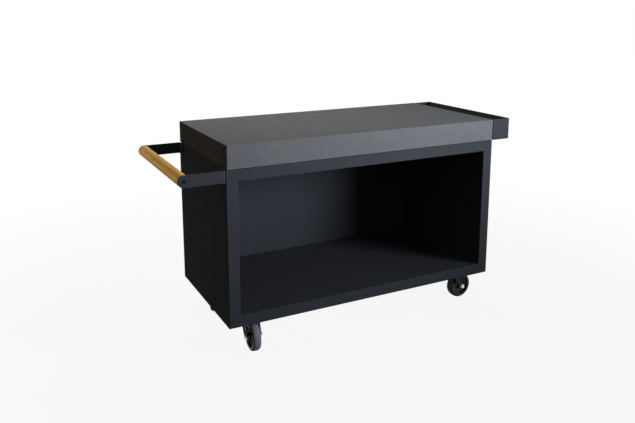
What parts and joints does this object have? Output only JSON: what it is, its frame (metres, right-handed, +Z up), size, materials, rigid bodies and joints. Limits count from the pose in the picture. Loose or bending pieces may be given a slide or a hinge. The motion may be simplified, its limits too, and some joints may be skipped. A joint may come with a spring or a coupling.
{
  "type": "prep table",
  "caption": "Rolling outdoor prep table: ceramic worktop on an open black steel cabinet, with an end tray, a wooden push handle and swivel casters.",
  "frame": {"origin": "on the ground, at the middle of the whole outline in plan", "axes": "+X to the right end with the tray (the handle is at -X), +Y to the closed back, +Z up"},
  "size_m": [1.644, 0.648, 0.918],
  "materials": {
    "powder_coated_steel": "fine satin black powder coat",
    "dark_ceramic": "matt, faintly clouded dark grey",
    "oiled_wood": "oiled, fine grain along the bar",
    "caster_steel": "satin black",
    "zinc_steel": "bright zinc plate",
    "black_screw": "black oxide",
    "brass_insert": "machined",
    "wheel_plastic": "moulded black",
    "tyre_rubber": "matt black rubber",
    "rubber_pad": "matt"
  },
  "bodies": {
    "cabinet": {"left_side": "powder_coated_steel", "right_side": "powder_coated_steel", "base": "powder_coated_steel", "top_deck": "powder_coated_steel", "back_panel": "powder_coated_steel", "back_panel_rivets": "powder_coated_steel", "left_caster_channel": "powder_coated_steel", "right_caster_channel": "powder_coated_steel", "worktop_panel": "dark_ceramic", "worktop_front_apron": "dark_ceramic", "worktop_rear_apron": "dark_ceramic", "worktop_left_apron": "dark_ceramic", "worktop_right_apron": "dark_ceramic", "worktop_long_rails": "powder_coated_steel", "worktop_cross_rails": "powder_coated_steel", "worktop_pads": "rubber_pad", "planter_tray": "powder_coated_steel", "planter_tray_screws": "black_screw", "handle_front_arm": "powder_coated_steel", "handle_rear_arm": "powder_coated_steel", "handle_bar": "oiled_wood", "handle_bar_inserts": "brass_insert", "handle_bar_screws": "black_screw", "handle_foot_screws": "black_screw", "rivet_nuts": "zinc_steel", "caster_bolts": "zinc_steel", "caster_weld_nuts": "zinc_steel", "swivel_kingpins": "zinc_steel", "swivel_balls": "zinc_steel", "front_left_caster_plate": "caster_steel", "front_right_caster_plate": "caster_steel", "rear_left_caster_plate": "caster_steel", "rear_right_caster_plate": "caster_steel"},
    "front_left_swivel": {"front_left_fork": "caster_steel", "front_left_axle_bolt": "zinc_steel", "front_left_axle_sleeve": "zinc_steel"},
    "front_left_rolling_wheel": {"front_left_wheel": "wheel_plastic", "front_left_tyre": "tyre_rubber"},
    "front_right_swivel": {"front_right_fork": "caster_steel", "front_right_axle_bolt": "zinc_steel", "front_right_axle_sleeve": "zinc_steel"},
    "front_right_rolling_wheel": {"front_right_wheel": "wheel_plastic", "front_right_tyre": "tyre_rubber"},
    "rear_left_swivel": {"rear_left_fork": "caster_steel", "rear_left_axle_bolt": "zinc_steel", "rear_left_axle_sleeve": "zinc_steel", "rear_left_brake_pin": "zinc_steel"},
    "rear_left_rolling_wheel": {"rear_left_wheel": "wheel_plastic", "rear_left_tyre": "tyre_rubber"},
    "rear_left_pedal": {"rear_left_brake_pedal": "caster_steel"},
    "rear_right_swivel": {"rear_right_fork": "caster_steel", "rear_right_axle_bolt": "zinc_steel", "rear_right_axle_sleeve": "zinc_steel", "rear_right_brake_pin": "zinc_steel"},
    "rear_right_rolling_wheel": {"rear_right_wheel": "wheel_plastic", "rear_right_tyre": "tyre_rubber"},
    "rear_right_pedal": {"rear_right_brake_pedal": "caster_steel"}
  },
  "joints": [
    {"name": "front_left_swivel_turn", "type": "hinge", "parent": "cabinet", "child": "front_left_swivel", "pos_m": [-0.501, -0.22, 0.133], "axis": [0, 0, 1], "continuous": true},
    {"name": "front_left_wheel_spin", "type": "hinge", "parent": "front_left_swivel", "child": "front_left_rolling_wheel", "pos_m": [-0.50233, -0.25798, 0.0625], "axis": [-0.9994, 0.0349, 0], "continuous": true},
    {"name": "front_right_swivel_turn", "type": "hinge", "parent": "cabinet", "child": "front_right_swivel", "pos_m": [0.595, -0.22, 0.133], "axis": [0, 0, 1], "continuous": true},
    {"name": "front_right_wheel_spin", "type": "hinge", "parent": "front_right_swivel", "child": "front_right_rolling_wheel", "pos_m": [0.63298, -0.21867, 0.0625], "axis": [0.0349, -0.9994, 0], "continuous": true},
    {"name": "rear_left_swivel_turn", "type": "hinge", "parent": "cabinet", "child": "rear_left_swivel", "pos_m": [-0.501, 0.22, 0.133], "axis": [0, 0, 1], "continuous": true},
    {"name": "rear_left_wheel_spin", "type": "hinge", "parent": "rear_left_swivel", "child": "rear_left_rolling_wheel", "pos_m": [-0.51884, 0.18645, 0.0625], "axis": [-0.8829, 0.4695, 0], "continuous": true},
    {"name": "rear_left_pedal_press", "type": "hinge", "parent": "rear_left_swivel", "child": "rear_left_pedal", "pos_m": [-0.54419, 0.13877, 0.12], "axis": [0.8829, -0.4695, 0], "range_deg": [0, 18]},
    {"name": "rear_right_swivel_turn", "type": "hinge", "parent": "cabinet", "child": "rear_right_swivel", "pos_m": [0.595, 0.22, 0.133], "axis": [0, 0, 1], "continuous": true},
    {"name": "rear_right_wheel_spin", "type": "hinge", "parent": "rear_right_swivel", "child": "rear_right_rolling_wheel", "pos_m": [0.63279, 0.21603, 0.0625], "axis": [-0.1045, -0.9945, 0], "continuous": true},
    {"name": "rear_right_pedal_press", "type": "hinge", "parent": "rear_right_swivel", "child": "rear_right_pedal", "pos_m": [0.6865, 0.21038, 0.12], "axis": [0.1045, 0.9945, 0], "range_deg": [0, 18]}
  ]
}
